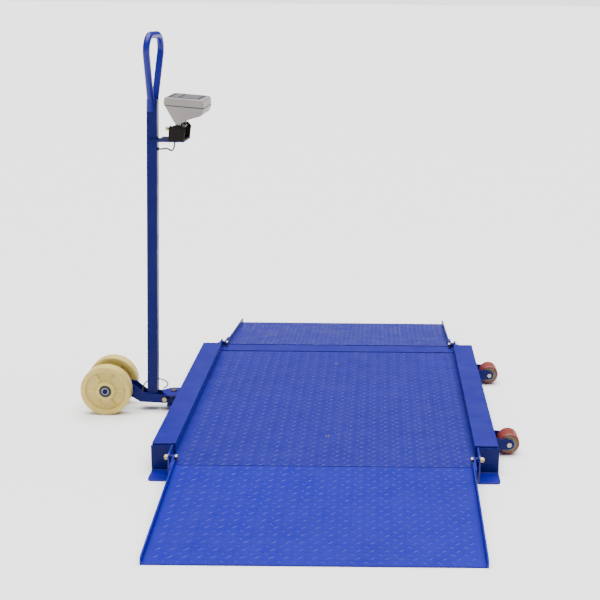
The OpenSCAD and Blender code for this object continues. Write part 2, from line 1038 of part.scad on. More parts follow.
// from the swivel block, arching behind the mast, down into the fork
cell_route = [[-653, 50, 59.5], [-655.5, 51, 66], [-652, 52, 75], [-640, 54, 85], [-640, 56, 96],
  [-655, 59, 106], [-680, 61, 110], [-705, 60, 106], [-724, 54, 96], [-732, 47, 80],
  [-734, 44, 62], [-734, 44, 44]];
// from the bracket's hole up to the housing
tail_route = [[-572, -8, 1043], [-572, -8, 1052], [-570, -7, 1061], [-563, -4, 1075], [-556, -2, 1090],
  [-554, -2, 1099.4]];

module indicator_lead() {
  color("DimGray")
    swept(indicator_route, lead_d / 2, 21, 8, [0, 1, 0]);
}

module indicator_tail() {
  color("DimGray")
    swept(tail_route, lead_d / 2, 12, 8, [0, 1, 0]);
}

module cell_lead() {
  color("DimGray")
    swept(cell_route, cell_lead_d / 2, 36, 8, [0, 1, 0]);
}

// ---------- output ----------
left_channel();
right_channel();
left_lug_plate();
right_lug_plate();
end_plates();
rear_cross_member();
cross_ties();
load_cells();
load_cell_bolts();
load_posts();
junction_box();
swivel_tongues();
swivel_pin();
roller_brackets();
roller_bolts();
hinge_bolts();
hinge_nuts();
hinge_spacers();
deck_plate();
deck_ribs();
left_cover();
right_cover();
lifting_plugs();
front_ramp_plate();
front_ramp_flanges();
front_ramp_ribs();
rear_ramp_plate();
rear_ramp_flanges();
rear_ramp_ribs();
swivel_block();
fork_plates();
fork_web();
mast_packers();
tilt_bolt();
wheel_axle();
axle_spacers();
axle_clips();
mast_tube();
loop_handle();
arm_plate();
tilt_bracket();
bracket_bolts();
lock_screw();
lead_grommets();
front_wheel();
front_wheel_bearings();
rear_wheel();
rear_wheel_bearings();
front_roller_tyre();
front_roller_core();
rear_roller_tyre();
rear_roller_core();
housing_base();
housing_top();
panel_overlay();
display_window();
panel_keys();
indicator_lead();
indicator_tail();
cell_lead();
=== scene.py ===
import json
import math

import bpy
import bmesh
from mathutils import Matrix, Vector


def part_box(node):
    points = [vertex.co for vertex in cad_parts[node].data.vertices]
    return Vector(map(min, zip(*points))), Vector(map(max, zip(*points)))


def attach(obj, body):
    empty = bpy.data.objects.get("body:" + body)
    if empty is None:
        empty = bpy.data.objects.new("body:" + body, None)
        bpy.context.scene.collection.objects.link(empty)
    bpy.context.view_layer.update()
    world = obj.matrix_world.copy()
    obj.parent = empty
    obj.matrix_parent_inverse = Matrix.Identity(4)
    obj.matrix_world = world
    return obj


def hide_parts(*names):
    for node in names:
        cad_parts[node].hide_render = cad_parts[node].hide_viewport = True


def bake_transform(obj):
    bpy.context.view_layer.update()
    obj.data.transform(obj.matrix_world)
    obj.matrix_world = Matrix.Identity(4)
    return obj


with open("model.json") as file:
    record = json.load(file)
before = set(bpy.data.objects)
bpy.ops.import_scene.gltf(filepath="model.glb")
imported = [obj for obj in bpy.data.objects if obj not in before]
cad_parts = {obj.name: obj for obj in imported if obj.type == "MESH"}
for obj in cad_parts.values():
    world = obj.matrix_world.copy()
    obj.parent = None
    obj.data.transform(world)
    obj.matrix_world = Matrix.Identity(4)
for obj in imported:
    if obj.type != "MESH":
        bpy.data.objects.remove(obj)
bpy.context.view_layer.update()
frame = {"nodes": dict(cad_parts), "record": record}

NODES = frame["nodes"]

# ---------- places taken from the part ----------
DECK_LOW, DECK_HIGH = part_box("deck_plate")
DECK_TOP = DECK_HIGH[2]
DECK_TREAD_HALF = 0.497
RAMP_TREAD_HALF = 0.483
RAMP_NEAR = 0.707
RAMP_LENGTH = 0.5855
RAMP_SLOPE = math.radians(5.784)
PLUG_Y = (-0.425, 0.425)
CHANNEL_WALL = 0.512
FOOT_EDGE = 0.580
END_FACE = 0.6105
TILT_AXIS = Vector((-0.550, 0.032, 1.085))
HOUSING_WIDTH = 0.210
EAR_FROM_MIDDLE = 0.0675
EAR_RADIUS = 0.009
MAST_FOOT = Vector((-0.692, 0.032, 0.0437))
MAST_LEAN = math.radians(1.95)
MAST_SIDE = 0.038
GEAR_Y = 0.032
WHEEL_AXLE = Vector((-0.856, 0.0, 0.095))
WHEEL_SIDES = {"front": (-0.057, -0.007), "rear": (0.071, 0.121)}
ROLLER_AXLE = Vector((0.6335, 0.0, 0.042))
ROLLER_MIDDLES = {"front": -0.396, "rear": 0.396}
ROLLER_HALF_WIDTH = 0.0348
LEAD_DIAMETER = 0.006
CELL_LEAD_DIAMETER = 0.0045

# The leads' routes, point by point as in the part, in millimetres.
INDICATOR_ROUTE = [(-572, -8, 1033), (-572, -8, 1026), (-575, -6, 1012), (-584, 4, 1001),
                   (-594, 14, 1002), (-606, 24, 1005), (-618, 31, 1003.5), (-629, 32, 1002.14),
                   (-636.32, 32, 1002.38)]
CELL_ROUTE = [(-653, 50, 59.5), (-655.5, 51, 66), (-652, 52, 75), (-640, 54, 85), (-640, 56, 96),
              (-655, 59, 106), (-680, 61, 110), (-705, 60, 106), (-724, 54, 96), (-732, 47, 80),
              (-734, 44, 62), (-734, 44, 44)]
TAIL_ROUTE = [(-572, -8, 1043), (-572, -8, 1052), (-570, -7, 1061), (-563, -4, 1075),
              (-556, -2, 1090), (-554, -2, 1099.4)]
# The housing's outline: across along X and up, in millimetres from the tilt axis.
SECTION = [(-45, 101), (-47, 92), (-12, 27), (0, 14), (37, 33), (85, 47), (96, 70), (95, 96),
           (90, 104), (-42, 114)]


# ---------- camera ----------
CAMERA_PLACE = Vector((0.1684, -4.3489, 1.5416))
CAMERA_YAW = 0.0014
CAMERA_PITCH = 0.2465
CAMERA_ROLL = 0.0099
CAMERA_LENS = 71.66
CAMERA_SHIFT = -0.1312
FAR_LIMIT = 900


def make_camera():
    level = math.cos(CAMERA_PITCH)
    forward = Vector((math.sin(CAMERA_YAW) * level, math.cos(CAMERA_YAW) * level,
                      -math.sin(CAMERA_PITCH)))
    flat_right = Vector((math.cos(CAMERA_YAW), -math.sin(CAMERA_YAW), 0))
    flat_up = flat_right.cross(forward)
    c, s = math.cos(CAMERA_ROLL), math.sin(CAMERA_ROLL)
    right = c * flat_right + s * flat_up
    up = -s * flat_right + c * flat_up
    data = bpy.data.cameras.new("view")
    data.sensor_width = 36
    data.lens = CAMERA_LENS
    data.shift_x = CAMERA_SHIFT
    data.clip_end = FAR_LIMIT
    data.dof.use_dof = False
    camera = bpy.data.objects.new("view", data)
    turn = Matrix((right, up, -forward)).transposed()
    camera.matrix_world = Matrix.Translation(CAMERA_PLACE) @ turn.to_4x4()
    bpy.context.scene.collection.objects.link(camera)
    bpy.context.scene.camera = camera


make_camera()


# ---------- material tools ----------
BEVEL_SAMPLES = 4
COAT_ROUGHNESS = 0.08
NOISE_ROUGHNESS = 0.55


class Shader:
    """A principled material that is built up from small noise and bump steps."""

    def __init__(self, name, color, rough, metal=0.0, coat=0.0):
        self.material = bpy.data.materials.new(name)
        self.material.use_nodes = True
        self.tree = self.material.node_tree
        self.main = self.tree.nodes["Principled BSDF"]
        self.main.inputs["Base Color"].default_value = (*color, 1)
        self.main.inputs["Roughness"].default_value = rough
        self.main.inputs["Metallic"].default_value = metal
        self.main.inputs["Coat Weight"].default_value = coat
        self.main.inputs["Coat Roughness"].default_value = COAT_ROUGHNESS
        self.place = self.node("ShaderNodeTexCoord").outputs["Object"]

    def node(self, kind, **values):
        made = self.tree.nodes.new(kind)
        for key, value in values.items():
            setattr(made, key, value)
        return made

    def link(self, a, b):
        self.tree.links.new(a, b)

    def noise(self, scale, detail, stretch=(1, 1, 1)):
        mapping = self.node("ShaderNodeMapping")
        mapping.inputs["Scale"].default_value = stretch
        self.link(self.place, mapping.inputs["Vector"])
        made = self.node("ShaderNodeTexNoise")
        made.inputs["Scale"].default_value = scale
        made.inputs["Detail"].default_value = detail
        made.inputs["Roughness"].default_value = NOISE_ROUGHNESS
        self.link(mapping.outputs["Vector"], made.inputs["Vector"])
        return made.outputs["Fac"]

    def spread(self, value, low, high, to_low=0.0, to_high=1.0):
        made = self.node("ShaderNodeMapRange")
        made.inputs["From Min"].default_value = low
        made.inputs["From Max"].default_value = high
        made.inputs["To Min"].default_value = to_low
        made.inputs["To Max"].default_value = to_high
        self.link(value, made.inputs["Value"])
        return made.outputs["Result"]

    def tint(self, amount, color):
        """Mixes color over the base color by amount, a socket from 0 to 1."""
        base = self.main.inputs["Base Color"]
        made = self.node("ShaderNodeMix", data_type="RGBA")
        if base.is_linked:
            self.link(base.links[0].from_socket, made.inputs["A"])
        else:
            made.inputs["A"].default_value = base.default_value[:]
        made.inputs["B"].default_value = (*color, 1)
        self.link(amount, made.inputs["Factor"])
        self.link(made.outputs["Result"], base)

    def soft_normal(self, radius):
        """The normal of the surface as if its edges were rounded by radius."""
        made = self.node("ShaderNodeBevel", samples=BEVEL_SAMPLES)
        made.inputs["Radius"].default_value = radius
        return made.outputs["Normal"]

    def roughness(self, value, low, high):
        self.link(self.spread(value, 0.3, 0.7, low, high), self.main.inputs["Roughness"])

    def bump(self, height, strength, distance, rounding=0.0):
        made = self.node("ShaderNodeBump")
        made.inputs["Strength"].default_value = strength
        made.inputs["Distance"].default_value = distance
        self.link(height, made.inputs["Height"])
        normal = self.main.inputs["Normal"]
        if normal.is_linked:
            self.link(normal.links[0].from_socket, made.inputs["Normal"])
        elif rounding:
            self.link(self.soft_normal(rounding), made.inputs["Normal"])
        self.link(made.outputs["Normal"], normal)

    def edges(self, radius):
        """1 on worn edges, 0 on flat faces."""
        flat = self.node("ShaderNodeNewGeometry")
        dot = self.node("ShaderNodeVectorMath", operation="DOT_PRODUCT")
        self.link(self.soft_normal(radius), dot.inputs[0])
        self.link(flat.outputs["Normal"], dot.inputs[1])
        return self.spread(dot.outputs["Value"], 0.99, 0.86)

    def product(self, a, b):
        made = self.node("ShaderNodeMath", operation="MULTIPLY")
        self.link(a, made.inputs[0])
        self.link(b, made.inputs[1])
        return made.outputs["Value"]


def paint(name, color, rough=0.36, wear=0.5, dust=0.10, shine=0.28):
    """Gloss enamel with orange peel, dust, fine scratches and chipped edges."""
    s = Shader(name, color, rough, coat=0.03)
    s.main.inputs["Specular IOR Level"].default_value = shine
    dark = tuple(0.72 * c for c in color)
    pale = tuple(0.9 * c + 0.008 for c in color)
    s.tint(s.spread(s.noise(3.1, 5), 0.35, 0.75, 0, 0.45), dark)
    s.tint(s.spread(s.noise(9.0, 8), 0.52, 0.8, 0, dust * 3), pale)
    scratches = s.spread(s.noise(60, 2, (1, 14, 1)), 0.68, 0.72, 0, 0.35)
    s.tint(scratches, pale)
    chips = s.product(s.edges(0.0025), s.spread(s.noise(38, 6), 0.56, 0.6))
    s.tint(s.spread(chips, 0, 1, 0, wear), (0.07, 0.065, 0.065))
    s.roughness(s.noise(14, 6), rough - 0.07, rough + 0.14)
    s.bump(s.noise(420, 2), 0.12, 0.0004, rounding=0.0012)
    s.bump(s.noise(7, 3), 0.10, 0.002)
    return s.material


def metal(name, color, rough=0.32, stain=(0.25, 0.17, 0.09), stain_part=0.35):
    """Bare or plated metal, with stains in scattered patches and a fine grain."""
    grain = 300
    s = Shader(name, color, rough, metal=1.0)
    s.tint(s.spread(s.noise(120, 6), 0.5, 0.72, 0, stain_part), stain)
    s.roughness(s.noise(grain, 4), rough - 0.08, rough + 0.18)
    s.bump(s.noise(grain * 2, 3), 0.15, 0.0003, rounding=0.0008)
    return s.material


def plastic(name, color, second, rough=0.40, grain=1200, patch=30, rounding=0.0003, glow=0.0):
    """Moulded plastic or rubber: patches of a second colour, darker specks and a fine grain."""
    s = Shader(name, color, rough)
    s.main.inputs["Subsurface Weight"].default_value = glow
    s.main.inputs["Subsurface Radius"].default_value = (0.02, 0.014, 0.006)
    s.tint(s.spread(s.noise(patch, 6), 0.38, 0.72, 0, 0.85), second)
    s.tint(s.spread(s.noise(patch * 9, 3), 0.62, 0.7, 0, 0.18), tuple(0.4 * c for c in second))
    s.roughness(s.noise(patch * 3, 5), rough - 0.08, rough + 0.14)
    s.bump(s.noise(grain, 3), 0.12, 0.0003, rounding=rounding)
    return s.material


# The looks that aren't slots of the record are ramp_paint, bearing, gasket and key_field.
PAINTS = {
    "blue_paint": dict(color=(0.0045, 0.0035, 0.20)),
    # The front ramp's paint is the blue paint made brighter and less glossy: painted light for how
    # the tilted ramp catches the light.
    "ramp_paint": dict(color=(0.003, 0.002, 0.255), shine=0.18),
    # The navy slot's paint is the same blue paint at half its brightness and with less gloss:
    # painted shade for this slot's parts, such as the mast, whose faces turn from the light.
    "navy_paint": dict(color=(0.002, 0.0035, 0.10), wear=0.6, shine=0.10),
    "black_steel": dict(color=(0.0075, 0.0042, 0.0032), rough=0.5, wear=0.9, dust=0.2,
                        shine=0.12),
}
METALS = {
    "zinc": dict(color=(0.30, 0.23, 0.12)),
    "steel": dict(color=(0.34, 0.32, 0.28), rough=0.36),
    "brass": dict(color=(0.46, 0.34, 0.15), rough=0.28),
    "bearing": dict(color=(0.10, 0.085, 0.065), rough=0.42, stain=(0.05, 0.035, 0.02),
                    stain_part=0.7),
    "core": dict(color=(0.14, 0.13, 0.09), rough=0.5, stain=(0.06, 0.05, 0.035), stain_part=0.6),
}
PLASTICS = {
    "nylon": dict(color=(0.66, 0.52, 0.135), second=(0.50, 0.36, 0.08), grain=500, patch=14,
                  rounding=0.003, glow=0.15),
    "pu": dict(color=(0.20, 0.024, 0.014), second=(0.12, 0.013, 0.009), rough=0.38, grain=600,
               patch=24, rounding=0.003, glow=0.10),
    "abs": dict(color=(0.27, 0.25, 0.23), second=(0.235, 0.215, 0.20), rough=0.48, grain=1600,
                patch=9, rounding=0.002),
    # The seam's dark bluish band is painted shade for the groove between the housing halves.
    "gasket": dict(color=(0.055, 0.06, 0.105), second=(0.04, 0.045, 0.085), rough=0.6, grain=900),
    "overlay": dict(color=(0.014, 0.015, 0.075), second=(0.016, 0.018, 0.09), rough=0.30),
    "key_field": dict(color=(0.13, 0.14, 0.15), second=(0.11, 0.12, 0.13)),
    "keys": dict(color=(0.16, 0.165, 0.16), second=(0.14, 0.145, 0.145), patch=40,
                 rounding=0.0006),
    "window": dict(color=(0.22, 0.24, 0.20), second=(0.18, 0.20, 0.17), rough=0.12),
    "cable": dict(color=(0.10, 0.09, 0.085), second=(0.07, 0.065, 0.06), rough=0.55, grain=700,
                  patch=60, rounding=0.0004),
    "black_rubber": dict(color=(0.01, 0.01, 0.01), second=(0.015, 0.015, 0.015), rough=0.6,
                         grain=500, patch=60, rounding=0.0006),
}
MATERIALS = {}
for make, looks in ((paint, PAINTS), (metal, METALS), (plastic, PLASTICS)):
    for look, values in looks.items():
        MATERIALS[look] = make(look, **values)


def dress_cad():
    slots = {s["node"]: s["material_slot"] for s in frame["record"]["subparts"]}
    # The front ramp's plate and flanges take the brighter copy of the blue paint, which is painted
    # light.
    other_looks = {"front_ramp_plate": "ramp_paint", "front_ramp_flanges": "ramp_paint",
                   "front_wheel_bearings": "bearing", "rear_wheel_bearings": "bearing"}
    for name, obj in NODES.items():
        obj.data.materials.clear()
        obj.data.materials.append(MATERIALS[other_looks.get(name, slots[name])])


dress_cad()


# ---------- mesh tools ----------
def add_object(name, data, look):
    """Puts a mesh in the scene with one of the materials."""
    obj = bpy.data.objects.new(name, data)
    bpy.context.scene.collection.objects.link(obj)
    data.materials.append(MATERIALS[look])
    return obj


def mesh_piece(name, verts, faces, slot, body=None, smooth=True, look=None):
    """A piece made of verts and faces, which rides on body. look is its material, if not slot's."""
    data = bpy.data.meshes.new(name)
    data.from_pydata([tuple(v) for v in verts], [], faces)
    data.update()
    for polygon in data.polygons:
        polygon.use_smooth = smooth
    obj = add_object(name, data, look or slot)
    if body:
        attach(obj, body)
    return obj


def bmesh_data(name, made):
    data = bpy.data.meshes.new(name)
    made.to_mesh(data)
    made.free()
    return data


def ring_faces(rings, turns, start=0, closed=False):
    """Quads between neighbouring rings of points, and from the last to the first if closed."""
    faces = []
    for i in range(rings if closed else rings - 1):
        k = (i + 1) % rings
        for j in range(turns):
            n = (j + 1) % turns
            faces.append((start + i * turns + j, start + i * turns + n,
                          start + k * turns + n, start + k * turns + j))
    return faces


def smooth_route(points, count):
    """Evenly numbered points on a smooth curve through the route's points, in metres."""
    p = [Vector(q) / 1000 for q in points]
    last = len(p) - 1
    made = []
    for k in range(count + 1):
        u = last * k / count
        i = min(int(u), last - 1)
        t = u - i
        a, b, c, d = p[max(i - 1, 0)], p[i], p[i + 1], p[min(i + 2, last)]
        made.append(0.5 * (2 * b + (c - a) * t + (2 * a - 5 * b + 4 * c - d) * t * t
                           + (3 * b - a - 3 * c + d) * t ** 3))
    return made


def tube_mesh(name, line, radius, slot, body=None, sides=16, ripple=0.0):
    """A closed tube along a line of points, with ripples for a weld bead."""
    verts = []
    side = None
    for k, point in enumerate(line):
        ahead = line[min(k + 1, len(line) - 1)] - line[max(k - 1, 0)]
        ahead.normalize()
        if side is None:
            side = ahead.orthogonal().normalized()
        side = (side - ahead * side.dot(ahead)).normalized()
        up = ahead.cross(side)
        r = radius * (1 + ripple * math.sin(k * 1.9))
        for j in range(sides):
            a = 2 * math.pi * j / sides
            verts.append(point + r * (math.cos(a) * side + math.sin(a) * up))
    faces = ring_faces(len(line), sides)
    faces.append(tuple(range(sides - 1, -1, -1)))
    faces.append(tuple(range(len(verts) - sides, len(verts))))
    return mesh_piece(name, verts, faces, slot, body)


def length_of(line):
    return sum((b - a).length for a, b in zip(line, line[1:]))


# ---------- leads ----------
def leads():
    line = smooth_route(INDICATOR_ROUTE, 36)
    lead = tube_mesh("lead_indicator", line, LEAD_DIAMETER / 2, "cable", "lifting_fork")
    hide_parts("indicator_lead")
    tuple(line[0])
    length_of(line)

    line = smooth_route(CELL_ROUTE, 48)
    cell = tube_mesh("lead_cells", line, CELL_LEAD_DIAMETER / 2, "cable")
    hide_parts("cell_lead")
    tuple(line[0])
    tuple(line[-1])
    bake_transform(cell)
    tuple(line[0])
    length_of(line)

    line = smooth_route(TAIL_ROUTE, 30)
    tail = tube_mesh("lead_tail", line, LEAD_DIAMETER / 2, "cable")
    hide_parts("indicator_tail")
    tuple(line[0])
    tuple(line[-1])
    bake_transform(tail)
    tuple(line[0])
    length_of(line)


leads()


# ---------- chequer tread ----------
BAR_LENGTH = 0.027
BAR_WIDTH = 0.0085
BAR_HEIGHT = 0.0014
BAR_SECTION = ((-1.0, 0.0), (-0.45, 0.75), (0.0, 1.0), (0.45, 0.75), (1.0, 0.0))
TREAD_PITCH = 0.041
TREAD_MARGIN = 0.013
PLUG_CLEAR = 0.026


def tread_bar(verts, faces, place, x, u, turn):
    """One low lens-shaped bar, centred at x, u and turned in the plate's plane."""
    stations = 6
    tip_half = 0.0002
    above_plate = 0.00004
    start = len(verts)
    ca, sa = math.cos(turn), math.sin(turn)
    for k in range(stations + 1):
        t = k / stations
        along = (t - 0.5) * BAR_LENGTH
        bulge = math.sin(math.pi * t)
        half = 0.5 * BAR_WIDTH * bulge ** 0.8 + tip_half
        for part, rise in BAR_SECTION:
            across = part * half
            lift = BAR_HEIGHT * rise * bulge ** 0.5 + above_plate
            verts.append(place(x + along * ca - across * sa, u + along * sa + across * ca, lift))
    points = len(BAR_SECTION)
    for k in range(stations):
        for j in range(points - 1):
            a = start + k * points + j
            faces.append((a, a + points, a + points + 1, a + 1))


def tread(name, body, place, x_limit, u_low, u_high, keep_off=(), look="blue_paint"):
    """Rows of bars that lean to either side in turn, over one plate."""
    verts, faces = [], []
    columns = int(x_limit / TREAD_PITCH) + 1
    rows = int((u_high - u_low) / TREAD_PITCH) + 1
    for i in range(-columns, columns + 1):
        for j in range(rows + 1):
            for half, turn in ((0.0, math.pi / 4), (0.5, -math.pi / 4)):
                x = (i + half) * TREAD_PITCH
                u = u_low + TREAD_MARGIN + (j + half) * TREAD_PITCH
                if abs(x) > x_limit - TREAD_MARGIN or u > u_high - TREAD_MARGIN:
                    continue
                if any(math.hypot(x - px, u - py) < PLUG_CLEAR for px, py in keep_off):
                    continue
                tread_bar(verts, faces, place, x, u, turn)
    return mesh_piece(name, verts, faces, "blue_paint", body, look=look)


def on_deck(x, u, h):
    return (x, u, DECK_TOP + h)


def on_ramp(sign):
    """Places points on the front ramp for sign -1, or on the rear ramp for 1."""
    def place(x, u, h):
        y = RAMP_NEAR + u * math.cos(RAMP_SLOPE) + h * math.sin(RAMP_SLOPE)
        z = DECK_TOP - u * math.sin(RAMP_SLOPE) + h * math.cos(RAMP_SLOPE)
        return (x * sign, y * sign, z)
    return place


def all_tread():
    tread("tread_deck", "platform", on_deck, DECK_TREAD_HALF, DECK_LOW[1], DECK_HIGH[1],
          [(0, y) for y in PLUG_Y])
    # The front ramp's tread takes the same brighter copy of the blue paint, which is painted light.
    tread("tread_front_ramp", "front_ramp", on_ramp(-1), RAMP_TREAD_HALF, 0.0, RAMP_LENGTH,
          look="ramp_paint")
    tread("tread_rear_ramp", "rear_ramp", on_ramp(1), RAMP_TREAD_HALF, 0.0, RAMP_LENGTH)


all_tread()


# ---------- indicator housing ----------
def section_solid(outline, y_low, y_high):
    """The outline (across, up, in millimetres from the tilt axis) given depth along Y."""
    verts = []
    for y in (y_low, y_high):
        for across, up in outline:
            verts.append((TILT_AXIS.x + across / 1000, y, TILT_AXIS.z + up / 1000))
    n = len(outline)
    faces = [tuple(range(n)), tuple(range(2 * n - 1, n - 1, -1))]
    for k in range(n):
        m = (k + 1) % n
        faces.append((k, k + n, m + n, m))
    made = bmesh.new()
    rows = [made.verts.new(v) for v in verts]
    for face in faces:
        made.faces.new([rows[i] for i in face])
    bmesh.ops.recalc_face_normals(made, faces=made.faces)
    return made


SEAM_SLOPE = Vector((280, 0, -23))
SEAM_HEIGHT = 0.0821
SEAM_HALF_GAP = 0.0017
SHELL_ROUNDING = 0.0075
FLAT_FACE_AREA = 0.0006


def housing_shell(name, keep_upper, node):
    """One half of the moulded housing, with rounded edges, cut at the sloping seam."""
    y_low = GEAR_Y - HOUSING_WIDTH / 2
    made = section_solid(SECTION, y_low, y_low + HOUSING_WIDTH)
    bmesh.ops.bevel(made, geom=made.edges[:], offset=SHELL_ROUNDING, segments=5, profile=0.5,
                    affect="EDGES", clamp_overlap=True)
    slope = SEAM_SLOPE.normalized()
    normal = Vector((-slope.z, 0, slope.x))
    shift = SEAM_HALF_GAP if keep_upper else -SEAM_HALF_GAP
    point = TILT_AXIS + Vector((0, 0, SEAM_HEIGHT)) + normal * shift
    cut = bmesh.ops.bisect_plane(made, geom=made.verts[:] + made.edges[:] + made.faces[:],
                                 plane_co=point, plane_no=normal, clear_inner=keep_upper,
                                 clear_outer=not keep_upper)
    rim = [e for e in cut["geom_cut"] if isinstance(e, bmesh.types.BMEdge)]
    bmesh.ops.contextual_create(made, geom=rim)
    data = bmesh_data(name, made)
    for polygon in data.polygons:
        polygon.use_smooth = polygon.area < FLAT_FACE_AREA
    obj = add_object(name, data, "abs")
    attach(obj, "indicator")
    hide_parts(node)


def housing_seam_shade():
    """A dark bluish solid inside the housing whose colour shows in the seam gap between the two
    halves: painted shade for the seam's groove.
    """
    inset = 0.0012
    near = -45.5 + 1000 * inset
    far = 95.5 - 1000 * inset
    y_low = GEAR_Y - HOUSING_WIDTH / 2 + inset
    made = section_solid([(near, 88), (near, 82), (far, 71), (far, 78)], y_low,
                         y_low + HOUSING_WIDTH - 2 * inset)
    corners = [e for e in made.edges if abs(e.verts[0].co.y - e.verts[1].co.y) < 1e-6
               and abs(e.verts[0].co.x - e.verts[1].co.x) < 0.001]
    bmesh.ops.bevel(made, geom=corners, offset=0.007, segments=5, profile=0.5, affect="EDGES")
    gasket = add_object("housing_seam_shade", bmesh_data("housing_seam_shade", made), "gasket")
    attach(gasket, "indicator")


def ear_web(name, centre):
    """The block that joins one ear to the housing."""
    made = bmesh.new()
    bmesh.ops.create_cube(made, size=1.0)
    bmesh.ops.scale(made, vec=(0.014, 0.008, 0.022), verts=made.verts)
    bmesh.ops.bevel(made, geom=made.edges[:], offset=0.0008, segments=2, profile=0.5,
                    affect="EDGES")
    bmesh.ops.translate(made, vec=centre, verts=made.verts)
    web = add_object(name, bmesh_data(name, made), "abs")
    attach(web, "indicator")


def housing():
    housing_shell("housing_upper_shell", True, "housing_top")
    housing_shell("housing_lower_shell", False, "housing_base")
    housing_seam_shade()
    for k, side in enumerate((-1, 1)):
        foot = Vector((TILT_AXIS.x, GEAR_Y + side * EAR_FROM_MIDDLE, TILT_AXIS.z))
        half = Vector((0, 0.004, 0))
        tube_mesh(f"housing_ear_{k + 1}", [foot - half, foot + half], EAR_RADIUS, "abs",
                  "indicator", 32)
        ear_web(f"housing_ear_web_{k + 1}", foot + Vector((0, 0, 0.011)))


housing()


# ---------- nylon wheels ----------
def wheel_point(y_side, sign, radius, depth, angle):
    """Depth is measured inwards from the wheel's side face."""
    return (WHEEL_AXLE.x + radius * math.cos(angle), y_side - sign * depth,
            WHEEL_AXLE.z + radius * math.sin(angle))


def wheel_profile():
    """Radius and depth from the hub bore to the tread, with how much a rib lifts each point."""
    web = 0.0125
    rows = [(0.0238, 0.0, 0), (0.0325, 0.0, 0), (0.0341, 0.0006, 0), (0.0349, 0.0025, 0),
            (0.0358, 0.009, 0), (0.0372, 0.0116, 0), (0.0395, web, 0.3)]
    rows += [(0.0395 + 0.031 * k / 8, web, 0.3 + 0.7 * min(1, k / 2, (8 - k) / 2 + 0.3))
             for k in range(1, 9)]
    rows += [(0.0735, 0.0116, 0), (0.0752, 0.008, 0), (0.0762, 0.0035, 0), (0.0775, 0.0018, 0),
             (0.0800, 0.0006, 0), (0.0880, 0.0, 0), (0.0912, 0.0005, 0), (0.0934, 0.0018, 0),
             (0.0946, 0.0036, 0), (0.0950, 0.0060, 0), (0.0950, 0.025, 0)]
    return rows


def nylon_wheel(name, which, node):
    """A moulded wheel whose webs are stiffened by six ribs, each a smooth ridge."""
    low, high = WHEEL_SIDES[which]
    turns = 180
    rib_turn = math.pi / 3
    rib_half_width = 0.0042
    rib_height = 0.0075
    verts, faces = [], []
    rows = wheel_profile()
    for y_side, way in ((low, -1), (high, 1)):
        start = len(verts)
        for radius, depth, lift in rows:
            for j in range(turns):
                angle = 2 * math.pi * j / turns
                near_rib = abs((angle / rib_turn + 0.5) % 1 - 0.5) * rib_turn * radius
                rib = 1 / (1 + (near_rib / rib_half_width) ** 4)
                verts.append(wheel_point(y_side, way, radius, depth - rib_height * lift * rib,
                                         angle))
        quads = ring_faces(len(rows), turns, start)
        faces += quads if way > 0 else [quad[::-1] for quad in quads]
    wheel = mesh_piece(name, verts, faces, "nylon", f"{which}_wheel_body")
    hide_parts(node)


def bearing_face(name, which, y_side, way):
    """Ring, dust shield and inner ring of one bearing, seen from outside."""
    turns = 64
    rim_depth = 0.003
    chamfer_in = 0.0004
    chamfer_out = 0.0003
    for part, low, high, depth, slot, look in (
            ("outer_ring", 0.0200, 0.0233, 0.0002, "steel", "bearing"),
            ("shield", 0.0138, 0.0202, 0.0005, "black_rubber", "black_rubber"),
            ("inner_ring", 0.0102, 0.0140, 0.0002, "steel", "bearing")):
        rows = ((low, depth + rim_depth), (low, depth), (low + chamfer_in, depth - chamfer_out),
                (high - chamfer_in, depth - chamfer_out), (high, depth),
                (high, depth + rim_depth))
        verts = [wheel_point(y_side, way, radius, deep, 2 * math.pi * j / turns)
                 for radius, deep in rows for j in range(turns)]
        mesh_piece(f"{name}_{part}", verts, ring_faces(len(rows), turns), slot,
                   f"{which}_wheel_body", look=look)


nylon_wheel("nylon_wheel_front", "front", "front_wheel")
nylon_wheel("nylon_wheel_rear", "rear", "rear_wheel")
bearing_face("bearing_front", "front", -0.0572, -1)
bearing_face("bearing_rear", "rear", 0.1212, 1)


# ---------- indicator panel ----------
PANEL_CORNER = Vector((-0.042, 0, 0.114))
PANEL_SLOPE = math.atan2(10, 132)
KEY_HALF_LENGTH = 0.0068
KEY_HALF_WIDTH = 0.0095
KEY_FIRST = (0.063, -0.065)
KEY_STEP = (0.020, 0.026)


def panel_patch(name, slot, u_low, u_high, half_width, lift, thick, radius, at=0.0, look=None):
    """A thin plate with round corners on the sloping panel. u runs down the slope from the
    panel's high edge, at is the plate's middle along Y, and lift is the height of its face."""
    origin = TILT_AXIS + PANEL_CORNER
    c, s = math.cos(PANEL_SLOPE), math.sin(PANEL_SLOPE)
    outline = []
    for cx, cy, first in ((u_high - radius, half_width - radius, 0),
                          (u_low + radius, half_width - radius, 90),
                          (u_low + radius, radius - half_width, 180),
                          (u_high - radius, radius - half_width, 270)):
        for k in range(7):
            a = math.radians(first + 15 * k)
            outline.append((cx + radius * math.cos(a), at + cy + radius * math.sin(a)))
    verts = []
    for level in (lift - thick, lift):
        for u, y in outline:
            verts.append(origin + Vector((u * c + level * s, y, level * c - u * s)))
    n = len(outline)
    faces = [tuple(range(n - 1, -1, -1)), tuple(range(n, 2 * n))]
    faces += [(k, (k + 1) % n, n + (k + 1) % n, n + k) for k in range(n)]
    return mesh_piece(name, verts, faces, slot, "indicator", smooth=False, look=look)


